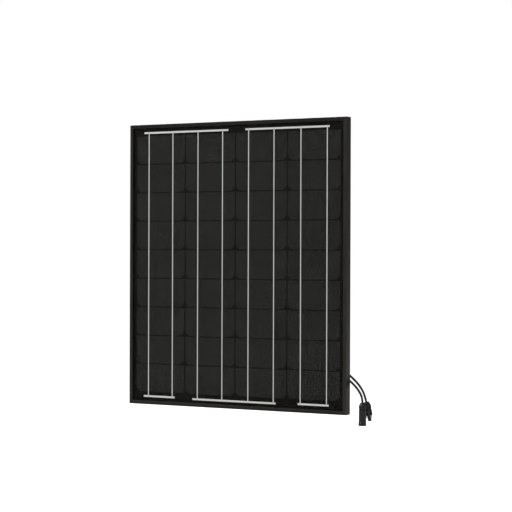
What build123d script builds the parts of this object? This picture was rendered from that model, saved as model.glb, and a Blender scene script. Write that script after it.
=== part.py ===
from build123d import *
import os
from math import cos, pi, radians, sin, tan

# A framed photovoltaic panel of the 80 W class, all sizes in millimetres.
# +X is right seen from the front, the glass faces -Y and +Z is up. The origin is the centre of the
# four mounting holes, on the rear face of the frame.

# ---- frame ----------------------------------------------------------------------------------
PANEL_WIDTH = 670.0
PANEL_HEIGHT = 780.0
FRAME_DEPTH = 25.0
FRAME_WALL = 1.5
LIP_WIDTH = 10.0
SHELF_THICKNESS = 1.2
CHAMBER_WIDTH = 7.0
WEB_THICKNESS = 1.2
FLANGE_WIDTH = 24.0
EDGE_ROUND = 0.6
LIP_ROUND = 1.2
MOUNTING_HOLE_DIAMETER = 7.0
MOUNTING_SPACING_Z = 390.0
EARTH_HOLE_DIAMETER = 4.2
EARTH_HOLE_Z = -60.0
HOLE_FROM_EDGE = 17.0
MITRE_GAP = 0.1
DRAIN_SLOT_X = 250.0
DRAIN_SLOT_LENGTH = 12.0
DRAIN_SLOT_WIDTH = 4.0
KEY_LEG = 46.0
KEY_THICKNESS = 3.2
KEY_TAPER = 2.0
KEY_CLEARANCE = 0.1

# ---- laminate, from the glass back to the rear sheet -----------------------------------------
GLASS = 3.2
ENCAPSULANT = 0.45
CELL_THICKNESS = 0.2
RIBBON_THICKNESS = 0.2
BACKSHEET = 0.35
REAR_ENCAPSULANT = 0.9
SEAL_FACE = 0.5
SEAL_EDGE = 1.5
SEAL_OVERLAP = 7.5

# ---- cells: half-cut pseudo-square wafers, four strings side by side -------------------------
WAFER = 156.0
INGOT_DIAMETER = 205.0
COLUMNS = 4
ROWS = 9
COLUMN_PITCH = 158.0
ROW_PITCH = 79.5
CELLS_CENTRE_Z = 1.4
RIBBON_OFFSET = 38.7
RIBBON_WIDTH = 2.5
BUS_HEIGHT = 5.0
TOP_BUS_Z = 367.1
BOTTOM_BUS_Z = -367.6
BOTTOM_CENTRE_BUS_Z = -369.4
BUS_SPANS = {
    "bus_ribbon_top_left": (-291.0, -22.6, TOP_BUS_Z),
    "bus_ribbon_top_right": (30.4, 282.4, TOP_BUS_Z),
    "bus_ribbon_bottom_left": (-291.0, -190.2, BOTTOM_BUS_Z),
    "bus_ribbon_bottom_centre": (-133.0, 124.8, BOTTOM_CENTRE_BUS_Z),
    "bus_ribbon_bottom_right": (190.9, 282.0, BOTTOM_BUS_Z),
}

# ---- junction box ------------------------------------------------------------------------------
BOX_WIDTH = 90.0
BOX_HEIGHT = 76.0
BOX_Z = -240.0
BOX_WALL = 2.0
BOX_FLOOR = 1.8
BOX_ROUND = 4.0
FOOT = 3.0
FOOT_THICKNESS = 1.6
FOOT_ROUND = 6.0
PAD_THICKNESS = 1.0
WINDOW_WIDTH = 64.0
WINDOW_HEIGHT = 8.0
SLIT_WIDTH = 58.0
SLIT_HEIGHT = 3.0
LID_PLATE = 2.0
LID_ROUND = 0.8
LID_RIBS = 7
LID_RIB_PITCH = 9.0
LID_RIB_WIDTH = 3.0
LID_RIB_HEIGHT = 30.0
LID_RIB_PROUD = 0.6
TONGUE_WIDTH = 8.0
CATCH_WIDTH = 10.0
GASKET_THICKNESS = 1.0
GASKET_WIDTH = 3.0
LID_OUTER_Y = -1.3
HINGE_OFFSET = 5.0
HINGE_X = 30.0
HINGE_LUG = 4.0
LUG_RADIUS = 2.6
LID_ARM_RADIUS = 2.2
TRUNNION_RADIUS = 1.5
TRUNNION_CLEARANCE = 0.08
TERMINAL_PITCH = 24.0
TERMINAL_WIDTH = 14.0
TERMINAL_THICKNESS = 0.8
TERMINAL_STRIP_WIDTH = 6.0
TERMINAL_CRIMP_RADIUS = 2.2
TERMINAL_CRIMP_LENGTH = 8.0
LEADOUT_WIDTH = 5.0
LEADOUT_THICKNESS = 0.2
LEADOUT_TAIL = 14.0
LEADOUT_BURIED = 0.1
DIODE_DIAMETER = 5.4
DIODE_LENGTH = 9.0
DIODE_WIRE = 1.2
DIODE_RISE = 3.3
DIODE_ABOVE_SLIT = 22.0

# ---- rating label, by its opposite corners (x, z) ----------------------------------------------
LABEL_CORNERS = ((-245.0, -275.0), (-135.0, -205.0))
LABEL_THICKNESS = 0.15
LABEL_ROUND = 3.0

# ---- output leads ------------------------------------------------------------------------------
LEAD_DIAMETER = 5.8
BORE_CLEARANCE = 0.3
LEAD_START_X = 42.0
GLAND_Y = -11.0
GLAND_SPACING = 22.0
STUB_RADIUS = 5.6
STUB_LENGTH = 8.0
GLAND_SEAL_RADIUS = 4.3
GLAND_NUT_LENGTH = 22.0
LEAD_IN_CONNECTOR = 13.5
POSITIVE_ROUTE = [
    (LEAD_START_X, GLAND_Y, -229.0),
    (104.0, GLAND_Y, -229.0),
    (170.0, -7.0, -231.0),
    (228.0, 1.0, -238.0),
    (272.0, 7.0, -252.0),
    (303.0, 9.5, -269.0),
    (331.0, 10.0, -289.2),
    (354.0, 13.5, -311.0),
    (367.6, 22.9, -338.5),
    (373.0, 25.8, -370.3),
]
NEGATIVE_ROUTE = [
    (LEAD_START_X, GLAND_Y, -251.0),
    (104.0, GLAND_Y, -251.0),
    (170.0, -7.0, -252.0),
    (228.0, 0.0, -257.5),
    (272.0, 6.0, -270.0),
    (304.0, 9.0, -285.5),
    (332.0, 9.0, -303.0),
    (354.9, 7.0, -323.7),
    (370.15, 3.2, -346.6),
    (370.05, 2.5, -371.1),
]

# ---- connectors, measured along their own axis from the nut's mouth ----------------------------
NUT_DIAMETER = 20.4
NUT_MOUTH_DIAMETER = 11.6
NUT_LENGTH = 19.0
NUT_TAPER = 7.5
NUT_RIBS = 12
NUT_RIB_RADIUS = 0.7
BODY_DIAMETER = 19.8
THREAD_DIAMETER = 14.0
THREAD_START = 7.5
THREAD_CORE_DIAMETER = 11.6
GRIP_FLAT_WIDTH = 7.0
GRIP_FLAT_DEPTH = 0.5
SOCKET_LENGTH = 60.4
SOCKET_RING_DIAMETER = 21.2
SOCKET_RING_LENGTH = 8.0
SOCKET_MOUTH_DIAMETER = 13.0
SOCKET_MOUTH_DEPTH = 20.0
LATCH_WINDOW_WIDTH = 6.6
LATCH_WINDOW_HEIGHT = 5.6
LATCH_WINDOW_DEPTH = 3.0
PLUG_LENGTH = 51.0
PLUG_SHOULDER = 36.0
NOSE_DIAMETER = 10.0
O_RING_DIAMETER = 11.4
O_RING_LENGTH = 2.2
LATCH_TIP = 44.0
LATCH_WIDTH = 6.0
LATCH_INNER = 5.9
LATCH_OUTER = 7.2
LATCH_HOOK = 7.9
CRIMP_DIAMETER = 5.6
CRIMP_LENGTH = 8.8
CONTACT_DIAMETER = 4.0
CONTACT_CLEARANCE = 0.1
PIN_DIAMETER = 2.5
SLEEVE_BORE = 2.6
SLEEVE_DEPTH = 12.0

# ---- planes that follow from the sizes above ---------------------------------------------------
HALF_WIDTH = PANEL_WIDTH / 2
HALF_HEIGHT = PANEL_HEIGHT / 2
FRONT_Y = -FRAME_DEPTH
LIP_BACK_Y = FRONT_Y + FRAME_WALL
GLASS_FRONT_Y = LIP_BACK_Y + SEAL_FACE
GLASS_BACK_Y = GLASS_FRONT_Y + GLASS
CELL_FRONT_Y = GLASS_BACK_Y + ENCAPSULANT
SHEET_FRONT_Y = CELL_FRONT_Y + REAR_ENCAPSULANT
SHEET_BACK_Y = SHEET_FRONT_Y + BACKSHEET
SHELF_Y = SHEET_BACK_Y + SEAL_FACE
CHAMBER_Y = SHELF_Y + SHELF_THICKNESS
FLANGE_Y = -FRAME_WALL
WEB_IN = FRAME_WALL + CHAMBER_WIDTH
WEB_OUT = WEB_IN + WEB_THICKNESS
LAMINATE_HALF_X = HALF_WIDTH - FRAME_WALL - SEAL_EDGE
LAMINATE_HALF_Z = HALF_HEIGHT - FRAME_WALL - SEAL_EDGE
FOIL_Y = SHEET_FRONT_Y - LEADOUT_BURIED
BOX_BACK_Y = SHEET_BACK_Y + PAD_THICKNESS
BOX_FLOOR_Y = BOX_BACK_Y + BOX_FLOOR
TERMINAL_Y = BOX_FLOOR_Y + TERMINAL_THICKNESS
LID_INNER_Y = LID_OUTER_Y - LID_PLATE
RIM_Y = LID_INNER_Y - GASKET_THICKNESS
BOX_TOP_Z = BOX_Z + BOX_HEIGHT / 2
BOX_LOW_Z = BOX_Z - BOX_HEIGHT / 2
HINGE_Y = LID_OUTER_Y - 1.6
HINGE_Z = BOX_TOP_Z + HINGE_OFFSET
GLAND_X = BOX_WIDTH / 2

parts = {}


def block(x, y, z):
    """A box between the two limits given on each axis."""
    size = [limits[1] - limits[0] for limits in (x, y, z)]
    middle = [(limits[0] + limits[1]) / 2 for limits in (x, y, z)]
    return Pos(*middle) * Box(*size)


def centred(x, y, z, size_x, size_z):
    """A box about x and z, between two limits on Y."""
    return block((x - size_x / 2, x + size_x / 2), y, (z - size_z / 2, z + size_z / 2))


def rod(start, direction, radius, length):
    """A cylinder from a point, along a direction."""
    return Plane(origin=start, z_dir=direction) * extrude(Circle(radius), length)


def on_plate(outline, y_low, y_high):
    """Extrudes an outline of (x, z) points between two limits on Y."""
    face = make_face(Polyline(*[(x, y_low, z) for x, z in outline], close=True))
    return extrude(face, y_high - y_low, dir=(0, 1, 0))


# ---- frame -------------------------------------------------------------------------------------
def frame_profile():
    """The extrusion's section: X is the distance in from the outer face, Y is the row's Y."""
    outline = Polyline(
        (0, FRONT_Y),
        (LIP_WIDTH, FRONT_Y),
        (LIP_WIDTH, LIP_BACK_Y),
        (FRAME_WALL, LIP_BACK_Y),
        (FRAME_WALL, SHELF_Y),
        (WEB_OUT, SHELF_Y),
        (WEB_OUT, FLANGE_Y),
        (FLANGE_WIDTH, FLANGE_Y),
        (FLANGE_WIDTH, 0),
        (0, 0),
        close=True,
    )
    section = make_face(outline)
    section = fillet([v for v in section.vertices() if v.X < 0.1], EDGE_ROUND)
    lip_edge = [v for v in section.vertices() if v.X > LIP_WIDTH - 0.1 and v.Y < FRONT_Y + 0.1]
    section = fillet(lip_edge, LIP_ROUND)
    chamber_middle = (FRAME_WALL + CHAMBER_WIDTH / 2, (CHAMBER_Y + FLANGE_Y) / 2)
    return section - Pos(*chamber_middle) * Rectangle(CHAMBER_WIDTH, FLANGE_Y - CHAMBER_Y)


def frame_side(half_across, half_along):
    """One mitred side, standing along Z with its outer face at -X."""
    bar = extrude(frame_profile(), 2 * half_along)
    bar = Pos(-half_across, 0, -half_along) * bar
    inner = FLANGE_WIDTH + 1
    reach = half_along - MITRE_GAP / 2
    mitre = [
        (-half_across, -reach),
        (-half_across + inner, -reach + inner),
        (-half_across + inner, reach - inner),
        (-half_across, reach),
    ]
    return bar & on_plate(mitre, FRONT_Y - 1, 1)


def make_frame():
    upright = frame_side(HALF_WIDTH, HALF_HEIGHT)
    level = Rot(0, 90, 0) * frame_side(HALF_HEIGHT, HALF_WIDTH)
    hole_x = HALF_WIDTH - HOLE_FROM_EDGE
    for z in (-MOUNTING_SPACING_Z / 2, MOUNTING_SPACING_Z / 2):
        upright -= rod((-hole_x, FLANGE_Y - 1, z), (0, 1, 0), MOUNTING_HOLE_DIAMETER / 2, 4)
    upright -= rod((-hole_x, FLANGE_Y - 1, EARTH_HOLE_Z), (0, 1, 0), EARTH_HOLE_DIAMETER / 2, 4)
    slot_z = HALF_HEIGHT - HOLE_FROM_EDGE
    for x in (-DRAIN_SLOT_X, DRAIN_SLOT_X):
        level -= centred(x, (FLANGE_Y - 1, 1), slot_z, DRAIN_SLOT_LENGTH, DRAIN_SLOT_WIDTH)
    parts["frame_side_left"] = upright
    parts["frame_side_right"] = mirror(upright, about=Plane.YZ)
    parts["frame_side_top"] = level
    parts["frame_side_bottom"] = mirror(level, about=Plane.XY)


def corner_key():
    """An L-shaped key in the chambers of the bottom left corner."""
    low_x = -HALF_WIDTH + FRAME_WALL + KEY_CLEARANCE
    low_z = -HALF_HEIGHT + FRAME_WALL + KEY_CLEARANCE
    width = CHAMBER_WIDTH - 2 * KEY_CLEARANCE
    outline = [
        (low_x, low_z),
        (low_x + KEY_LEG, low_z),
        (low_x + KEY_LEG, low_z + width - KEY_TAPER),
        (low_x + KEY_LEG - KEY_TAPER, low_z + width),
        (low_x + width, low_z + width),
        (low_x + width, low_z + KEY_LEG - KEY_TAPER),
        (low_x + width - KEY_TAPER, low_z + KEY_LEG),
        (low_x, low_z + KEY_LEG),
    ]
    near, far = CHAMBER_Y + KEY_CLEARANCE, FLANGE_Y - KEY_CLEARANCE
    key = on_plate(outline, near, far)
    pocket = (near + KEY_THICKNESS, far - KEY_THICKNESS)
    along = (low_x + width + 3, low_x + KEY_LEG - 5)
    up = (low_z + width + 3, low_z + KEY_LEG - 5)
    key -= block(along, pocket, (low_z - 1, low_z + width + 1))
    key -= block((low_x - 1, low_x + width + 1), pocket, up)
    return key


def make_corner_keys():
    bottom_left = corner_key()
    bottom_right = mirror(bottom_left, about=Plane.YZ)
    parts["corner_key_bottom_left"] = bottom_left
    parts["corner_key_bottom_right"] = bottom_right
    parts["corner_key_top_left"] = mirror(bottom_left, about=Plane.XY)
    parts["corner_key_top_right"] = mirror(bottom_right, about=Plane.XY)


# ---- laminate ------------------------------------------------------------------------------------
def sheet(y_low, y_high):
    """A full-size layer of the laminate."""
    return block((-LAMINATE_HALF_X, LAMINATE_HALF_X), (y_low, y_high), (-LAMINATE_HALF_Z, LAMINATE_HALF_Z))


def slit(y_low, y_high):
    """The slit in the rear layers that lets the lead-outs through."""
    return centred(0, (y_low, y_high), BOX_Z, SLIT_WIDTH, SLIT_HEIGHT)


def column_x(column):
    return (column - (COLUMNS - 1) / 2) * COLUMN_PITCH


def row_z(row):
    """The middle of a row, counted from the top."""
    return CELLS_CENTRE_Z + ((ROWS - 1) / 2 - row) * ROW_PITCH


def cell(column, row):
    """Half a wafer, with the ingot's two corners at its bottom edge."""
    half, tall = WAFER / 2, WAFER / 4
    corner = half - ((INGOT_DIAMETER / 2) ** 2 - half**2) ** 0.5
    x, z = column_x(column), row_z(row)
    outline = [
        (x - half + corner, z - tall),
        (x + half - corner, z - tall),
        (x + half, z - tall + corner),
        (x + half, z + tall),
        (x - half, z + tall),
        (x - half, z - tall + corner),
    ]
    return on_plate(outline, CELL_FRONT_Y, CELL_FRONT_Y + CELL_THICKNESS)


def cell_ribbons(column):
    """The two soldered ribbons of one string."""
    ribbon_y = (CELL_FRONT_Y - RIBBON_THICKNESS, CELL_FRONT_Y)
    outer = column in (0, COLUMNS - 1)
    lower_bus = BOTTOM_BUS_Z if outer else BOTTOM_CENTRE_BUS_Z
    ribbon_z = (lower_bus + BUS_HEIGHT / 2, TOP_BUS_Z - BUS_HEIGHT / 2)
    ribbons = []
    for side in (-1, 1):
        x = column_x(column) + side * RIBBON_OFFSET
        across = (x - RIBBON_WIDTH / 2, x + RIBBON_WIDTH / 2)
        ribbons.append(block(across, ribbon_y, ribbon_z))
    return ribbons


def leadout(x, bus_x, bus_z, outline):
    """A flat foil from a bus, behind the cells and out through the slit onto its terminal."""
    front, back = FOIL_Y - LEADOUT_THICKNESS, FOIL_Y
    foil = on_plate(outline, front, back)
    foil += centred(bus_x, (CELL_FRONT_Y, back), bus_z, LEADOUT_WIDTH, BUS_HEIGHT)
    tail_y = (TERMINAL_Y, TERMINAL_Y + LEADOUT_THICKNESS)
    riser = centred(x, (front, tail_y[1]), BOX_Z, LEADOUT_WIDTH, LEADOUT_THICKNESS)
    tail_x = (x - LEADOUT_WIDTH / 2, x + LEADOUT_WIDTH / 2)
    tail = block(tail_x, tail_y, (BOX_Z - LEADOUT_THICKNESS / 2, BOX_Z + LEADOUT_TAIL))
    return foil + riser + tail


def end_leadout(side, bus_end):
    """From an outer string's bottom bus, up behind the cells and across to the box."""
    x, half = side * TERMINAL_PITCH, LEADOUT_WIDTH / 2
    bus_x = bus_end + side * half
    low, high = BOTTOM_BUS_Z - BUS_HEIGHT / 2, BOX_Z + half
    outline = [
        (bus_x + side * half, low),
        (bus_x + side * half, high),
        (x - side * half, high),
        (x - side * half, high - LEADOUT_WIDTH),
        (bus_x - side * half, high - LEADOUT_WIDTH),
        (bus_x - side * half, low),
    ]
    return leadout(x, bus_x, BOTTOM_BUS_Z, outline)


def middle_leadout():
    half = LEADOUT_WIDTH / 2
    low, high = BOTTOM_CENTRE_BUS_Z - BUS_HEIGHT / 2, BOX_Z + half
    outline = [(-half, low), (half, low), (half, high), (-half, high)]
    return leadout(0, 0, BOTTOM_CENTRE_BUS_Z, outline)


def make_laminate():
    outer = block(
        (-LAMINATE_HALF_X - SEAL_EDGE, LAMINATE_HALF_X + SEAL_EDGE),
        (LIP_BACK_Y, SHELF_Y),
        (-LAMINATE_HALF_Z - SEAL_EDGE, LAMINATE_HALF_Z + SEAL_EDGE),
    )
    inner_x, inner_z = HALF_WIDTH - FRAME_WALL - SEAL_OVERLAP, HALF_HEIGHT - FRAME_WALL - SEAL_OVERLAP
    window = block((-inner_x, inner_x), (FRONT_Y, 0), (-inner_z, inner_z))
    parts["edge_seal"] = outer - window - sheet(GLASS_FRONT_Y, SHEET_BACK_Y)
    parts["front_glass"] = sheet(GLASS_FRONT_Y, GLASS_BACK_Y)

    conductors = []
    for column in range(COLUMNS):
        cells = [cell(column, row) for row in range(ROWS)]
        ribbons = cell_ribbons(column)
        parts[f"cell_string_{column + 1}"] = Compound(children=cells)
        parts[f"cell_ribbons_{column + 1}"] = Compound(children=ribbons)
        conductors += ribbons
    bus_y = (CELL_FRONT_Y - RIBBON_THICKNESS, CELL_FRONT_Y)
    for name, (left, right, z) in BUS_SPANS.items():
        bus = block((left, right), bus_y, (z - BUS_HEIGHT / 2, z + BUS_HEIGHT / 2))
        parts[name] = bus
        conductors.append(bus)
    parts["front_encapsulant"] = sheet(GLASS_BACK_Y, CELL_FRONT_Y) - conductors

    foils = {
        "leadout_negative": end_leadout(-1, BUS_SPANS["bus_ribbon_bottom_left"][1]),
        "leadout_middle": middle_leadout(),
        "leadout_positive": end_leadout(1, BUS_SPANS["bus_ribbon_bottom_right"][0]),
    }
    parts.update(foils)
    filler = sheet(CELL_FRONT_Y, SHEET_FRONT_Y) - slit(CELL_FRONT_Y + CELL_THICKNESS, SHEET_FRONT_Y)
    filler -= [cell(column, row) for column in range(COLUMNS) for row in range(ROWS)]
    parts["rear_encapsulant"] = filler - list(foils.values())
    parts["backsheet"] = sheet(SHEET_FRONT_Y, SHEET_BACK_Y) - slit(SHEET_FRONT_Y, SHEET_BACK_Y)


# ---- junction box ----------------------------------------------------------------------------------
def rounded_box(width, height, y_low, y_high, radius):
    """A box about the junction box's middle, with its corners rounded about Y."""
    solid = centred(0, (y_low, y_high), BOX_Z, width, height)
    return fillet(solid.edges().filter_by(Axis.Y), radius)


def gland_origins():
    """The two gland axes, where they leave the box's right-hand wall."""
    return {
        "positive": Vector(GLAND_X, GLAND_Y, BOX_Z + GLAND_SPACING / 2),
        "negative": Vector(GLAND_X, GLAND_Y, BOX_Z - GLAND_SPACING / 2),
    }


def make_box_base():
    along = (1, 0, 0)
    base = rounded_box(BOX_WIDTH, BOX_HEIGHT, BOX_BACK_Y, RIM_Y, BOX_ROUND)
    foot_back = BOX_BACK_Y + FOOT_THICKNESS
    base += rounded_box(BOX_WIDTH + 2 * FOOT, BOX_HEIGHT + 2 * FOOT, BOX_BACK_Y, foot_back, FOOT_ROUND)
    for origin in gland_origins().values():
        base += rod(origin, along, STUB_RADIUS, STUB_LENGTH)
    room_width, room_height = BOX_WIDTH - 2 * BOX_WALL, BOX_HEIGHT - 2 * BOX_WALL
    base -= rounded_box(room_width, room_height, BOX_FLOOR_Y, RIM_Y, BOX_ROUND / 2)
    base -= centred(0, (BOX_BACK_Y, BOX_FLOOR_Y), BOX_Z, WINDOW_WIDTH, WINDOW_HEIGHT)
    bore, pocket = LEAD_DIAMETER / 2 + BORE_CLEARANCE, GLAND_SEAL_RADIUS + 0.1
    for origin in gland_origins().values():
        base -= rod(origin - Vector(BOX_WALL + 1, 0, 0), along, bore, 12)
        base -= rod(origin + Vector(2, 0, 0), along, pocket, STUB_LENGTH)
    for side in (-1, 1):
        lug_x = (side * HINGE_X - HINGE_LUG / 2, side * HINGE_X + HINGE_LUG / 2)
        lug_y = HINGE_Y - LUG_RADIUS
        lug = block(lug_x, (lug_y, HINGE_Y), (BOX_TOP_Z - BOX_WALL, HINGE_Z))
        lug += block(lug_x, (BOX_BACK_Y, lug_y), (BOX_TOP_Z - BOX_WALL, BOX_TOP_Z + 2))
        lug -= block(lug_x, (RIM_Y, 0), (BOX_TOP_Z - BOX_WALL - 1, BOX_TOP_Z + 0.4))
        lug += rod((lug_x[0], HINGE_Y, HINGE_Z), along, LUG_RADIUS, HINGE_LUG)
        base += lug
    trunnion_bore = TRUNNION_RADIUS + TRUNNION_CLEARANCE
    for side in (-1, 1):
        base -= rod((side * HINGE_X - 4, HINGE_Y, HINGE_Z), along, trunnion_bore, 8)
        catch_x = (side * HINGE_X - CATCH_WIDTH / 2, side * HINGE_X + CATCH_WIDTH / 2)
        base += block(catch_x, (RIM_Y - 4.6, RIM_Y - 3.4), (BOX_LOW_Z - 0.8, BOX_LOW_Z + 1))
    parts["junction_box_base"] = base


def make_box_lid():
    along = (1, 0, 0)
    lid = rounded_box(BOX_WIDTH, BOX_HEIGHT, LID_INNER_Y, LID_OUTER_Y, BOX_ROUND)
    lid = fillet(lid.faces().sort_by(Axis.Y)[-1].edges(), LID_ROUND)
    rib_y = (LID_OUTER_Y - 0.1, LID_OUTER_Y + LID_RIB_PROUD)
    for rib in range(LID_RIBS):
        rib_x = (rib - (LID_RIBS - 1) / 2) * LID_RIB_PITCH
        lid += centred(rib_x, rib_y, BOX_Z - 12, LID_RIB_WIDTH, LID_RIB_HEIGHT)
    for side in (-1, 1):
        inner = side * (HINGE_X - HINGE_LUG / 2 - 0.4)
        arm_x = sorted((inner, inner - side * 4))
        arm = block(arm_x, (LID_INNER_Y + 0.2, LID_OUTER_Y - 0.8), (BOX_TOP_Z - 4, HINGE_Z))
        arm += rod((arm_x[0], HINGE_Y, HINGE_Z), along, LID_ARM_RADIUS, 4)
        lid += arm
        lid += rod((inner, HINGE_Y, HINGE_Z), (side, 0, 0), TRUNNION_RADIUS, HINGE_LUG + 0.4)
        tongue_x = (side * HINGE_X - TONGUE_WIDTH / 2, side * HINGE_X + TONGUE_WIDTH / 2)
        lid += block(tongue_x, (LID_INNER_Y, LID_OUTER_Y - 0.8), (BOX_LOW_Z - 2.8, BOX_LOW_Z + 4))
        lid += block(tongue_x, (RIM_Y - 5.4, LID_INNER_Y + 0.5), (BOX_LOW_Z - 2.8, BOX_LOW_Z - 1.2))
    parts["junction_box_lid"] = lid


def make_box_seals():
    pad = rounded_box(BOX_WIDTH + 2, BOX_HEIGHT + 2, SHEET_BACK_Y, BOX_BACK_Y, 5)
    window = centred(0, (SHEET_BACK_Y, BOX_BACK_Y), BOX_Z, WINDOW_WIDTH, WINDOW_HEIGHT)
    parts["junction_box_adhesive"] = pad - window
    gasket = rounded_box(BOX_WIDTH - 0.6, BOX_HEIGHT - 0.6, RIM_Y, LID_INNER_Y, 3.7)
    hole_width = BOX_WIDTH - 2 * GASKET_WIDTH
    hole_height = BOX_HEIGHT - 2 * GASKET_WIDTH
    parts["junction_box_gasket"] = gasket - rounded_box(hole_width, hole_height, RIM_Y, LID_INNER_Y, 2)


def crimp(z):
    """The barrel that takes a lead's bared end, against the end of its sheath."""
    start = LEAD_START_X - TERMINAL_CRIMP_LENGTH
    barrel = rod((start, GLAND_Y, z), (1, 0, 0), TERMINAL_CRIMP_RADIUS, TERMINAL_CRIMP_LENGTH)
    foot = block((start, start + 6), (BOX_FLOOR_Y, GLAND_Y), (z - 1.2, z + 1.2))
    return barrel + foot


def make_terminals():
    plate_y = (BOX_FLOOR_Y, TERMINAL_Y)
    plate_z = (BOX_Z + WINDOW_HEIGHT / 2 + 1, BOX_TOP_Z - 6)
    half = TERMINAL_WIDTH / 2
    plates = {}
    for name, side in (("negative", -1), ("middle", 0), ("positive", 1)):
        x = side * TERMINAL_PITCH
        plates[name] = block((x - half, x + half), plate_y, plate_z)
    high_z, low_z = (origin.Z for origin in gland_origins().values())
    crimp_x = LEAD_START_X - 2
    strip = TERMINAL_STRIP_WIDTH / 2
    plates["positive"] += block((TERMINAL_PITCH, crimp_x), plate_y, (high_z - strip, high_z + strip))
    plates["positive"] += crimp(high_z)
    strap_x = (-BOX_WIDTH / 2 + BOX_WALL + 4, -WINDOW_WIDTH / 2 - 1)
    plates["negative"] += block((strap_x[0], -TERMINAL_PITCH), plate_y, (plate_z[1] - 8, plate_z[1]))
    plates["negative"] += block(strap_x, plate_y, (low_z - strip, plate_z[1]))
    plates["negative"] += block((strap_x[0], crimp_x), plate_y, (low_z - strip, low_z + strip))
    plates["negative"] += crimp(low_z)
    for name, plate in plates.items():
        parts[f"terminal_{name}"] = plate


def make_diodes():
    wire_y, wire_z = BOX_FLOOR_Y + DIODE_RISE, BOX_Z + DIODE_ABOVE_SLIT
    reach = TERMINAL_PITCH / 2 - 2
    for number, side in ((1, -1), (2, 1)):
        x = side * TERMINAL_PITCH / 2
        diode = rod((x - DIODE_LENGTH / 2, wire_y, wire_z), (1, 0, 0), DIODE_DIAMETER / 2, DIODE_LENGTH)
        diode += rod((x - reach, wire_y, wire_z), (1, 0, 0), DIODE_WIRE / 2, 2 * reach)
        for end in (-reach, reach):
            diode += Pos(x + end, wire_y, wire_z) * Sphere(DIODE_WIRE / 2)
            diode += rod((x + end, TERMINAL_Y, wire_z), (0, 1, 0), DIODE_WIRE / 2, wire_y - TERMINAL_Y)
        parts[f"bypass_diode_{number}"] = diode


# ---- glands, leads and connectors --------------------------------------------------------------------
def lathe(points):
    """A solid of revolution about +Z, from (radius, height) points."""
    return revolve(make_face(Polyline(*[(r, 0, h) for r, h in points], close=True)), Axis.Z)


def make_glands():
    lead = LEAD_DIAMETER / 2
    bore = lead + BORE_CLEARANCE
    for name, origin in gland_origins().items():
        place = Plane(origin=origin, x_dir=(0, 0, 1), z_dir=(1, 0, 0))
        seal_start, seal_end = 2.2, STUB_LENGTH + 0.6
        outer = GLAND_SEAL_RADIUS
        seal = lathe([(lead, seal_start), (outer, seal_start), (outer, seal_end), (lead, seal_end)])
        nut = lathe(
            [
                (5.75, 3.0),
                (6.5, 3.0),
                (6.5, 11.0),
                (5.9, 12.5),
                (4.6, 3 + GLAND_NUT_LENGTH - 1),
                (4.2, 3 + GLAND_NUT_LENGTH),
                (bore, 3 + GLAND_NUT_LENGTH),
                (bore, STUB_LENGTH + 0.7),
                (5.75, STUB_LENGTH + 0.7),
            ]
        )
        for groove in range(12):
            nut -= Rot(0, 0, groove * 30) * Pos(6.9, 0, 6.5) * Box(1.4, 1.0, 6.0)
        parts[f"gland_seal_{name}"] = place * seal
        parts[f"gland_nut_{name}"] = place * nut


def make_lead(name, route):
    """A round lead: straight runs joined by arcs as large as the runs allow."""
    points = [Vector(*p) for p in route]
    runs = [b - a for a, b in zip(points, points[1:])]
    radii = []
    for before, after in zip(runs, runs[1:]):
        turn = radians(before.get_angle(after))
        radii.append(0.45 * min(before.length, after.length) / tan(turn / 2))
    path = FilletPolyline(*points, radius=radii)
    section = Plane(origin=points[0], z_dir=runs[0]) * Circle(LEAD_DIAMETER / 2)
    tube = sweep(section, path=path)
    expected = pi * (LEAD_DIAMETER / 2) ** 2 * path.length
    print(name, "length", round(path.length, 1), "volume ratio", round(tube.volume / expected, 4))
    print(name, "runs", [round(run.length, 1) for run in runs], "radii", [round(r) for r in radii])
    parts[name] = tube


def connector_nut():
    """The ribbed cap that squeezes the seal onto the lead."""
    bore = LEAD_DIAMETER / 2 + BORE_CLEARANCE
    outer = NUT_DIAMETER / 2 - NUT_RIB_RADIUS
    inner = THREAD_DIAMETER / 2 + 0.15
    nut = lathe(
        [
            (bore, 0),
            (NUT_MOUTH_DIAMETER / 2, 0),
            (NUT_MOUTH_DIAMETER / 2 + 0.8, 0.6),
            (outer, NUT_TAPER),
            (outer, NUT_LENGTH - 0.6),
            (outer - 0.6, NUT_LENGTH),
            (inner, NUT_LENGTH),
            (inner, 5.0),
            (bore, 5.0),
        ]
    )
    for rib in range(NUT_RIBS):
        angle = 2 * pi * rib / NUT_RIBS
        foot = (outer * cos(angle), outer * sin(angle), NUT_TAPER + 1)
        nut += rod(foot, (0, 0, 1), NUT_RIB_RADIUS, NUT_LENGTH - NUT_TAPER - 3)
    return nut


def connector_seal():
    lead = LEAD_DIAMETER / 2
    return lathe([(lead, 5.1), (5.6, 5.1), (5.6, LEAD_IN_CONNECTOR - 1), (lead, LEAD_IN_CONNECTOR - 1)])


def threaded_tail():
    """The part of either housing that the nut screws onto."""
    core, thread, body = THREAD_CORE_DIAMETER / 2, THREAD_DIAMETER / 2, BODY_DIAMETER / 2
    body_start = NUT_LENGTH + 0.4
    return [
        (core, THREAD_START),
        (thread, THREAD_START),
        (thread, body_start),
        (body - 0.5, body_start),
        (body, body_start + 0.5),
    ]


def contact_bore(mouth):
    """The bore that holds the contact, from its mouth back to the threaded tail."""
    bore = CONTACT_DIAMETER / 2 + CONTACT_CLEARANCE
    barrel_end = LEAD_IN_CONNECTOR + CRIMP_LENGTH + 0.2
    return [(bore, mouth), (bore, barrel_end), (THREAD_CORE_DIAMETER / 2, barrel_end)]


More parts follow.
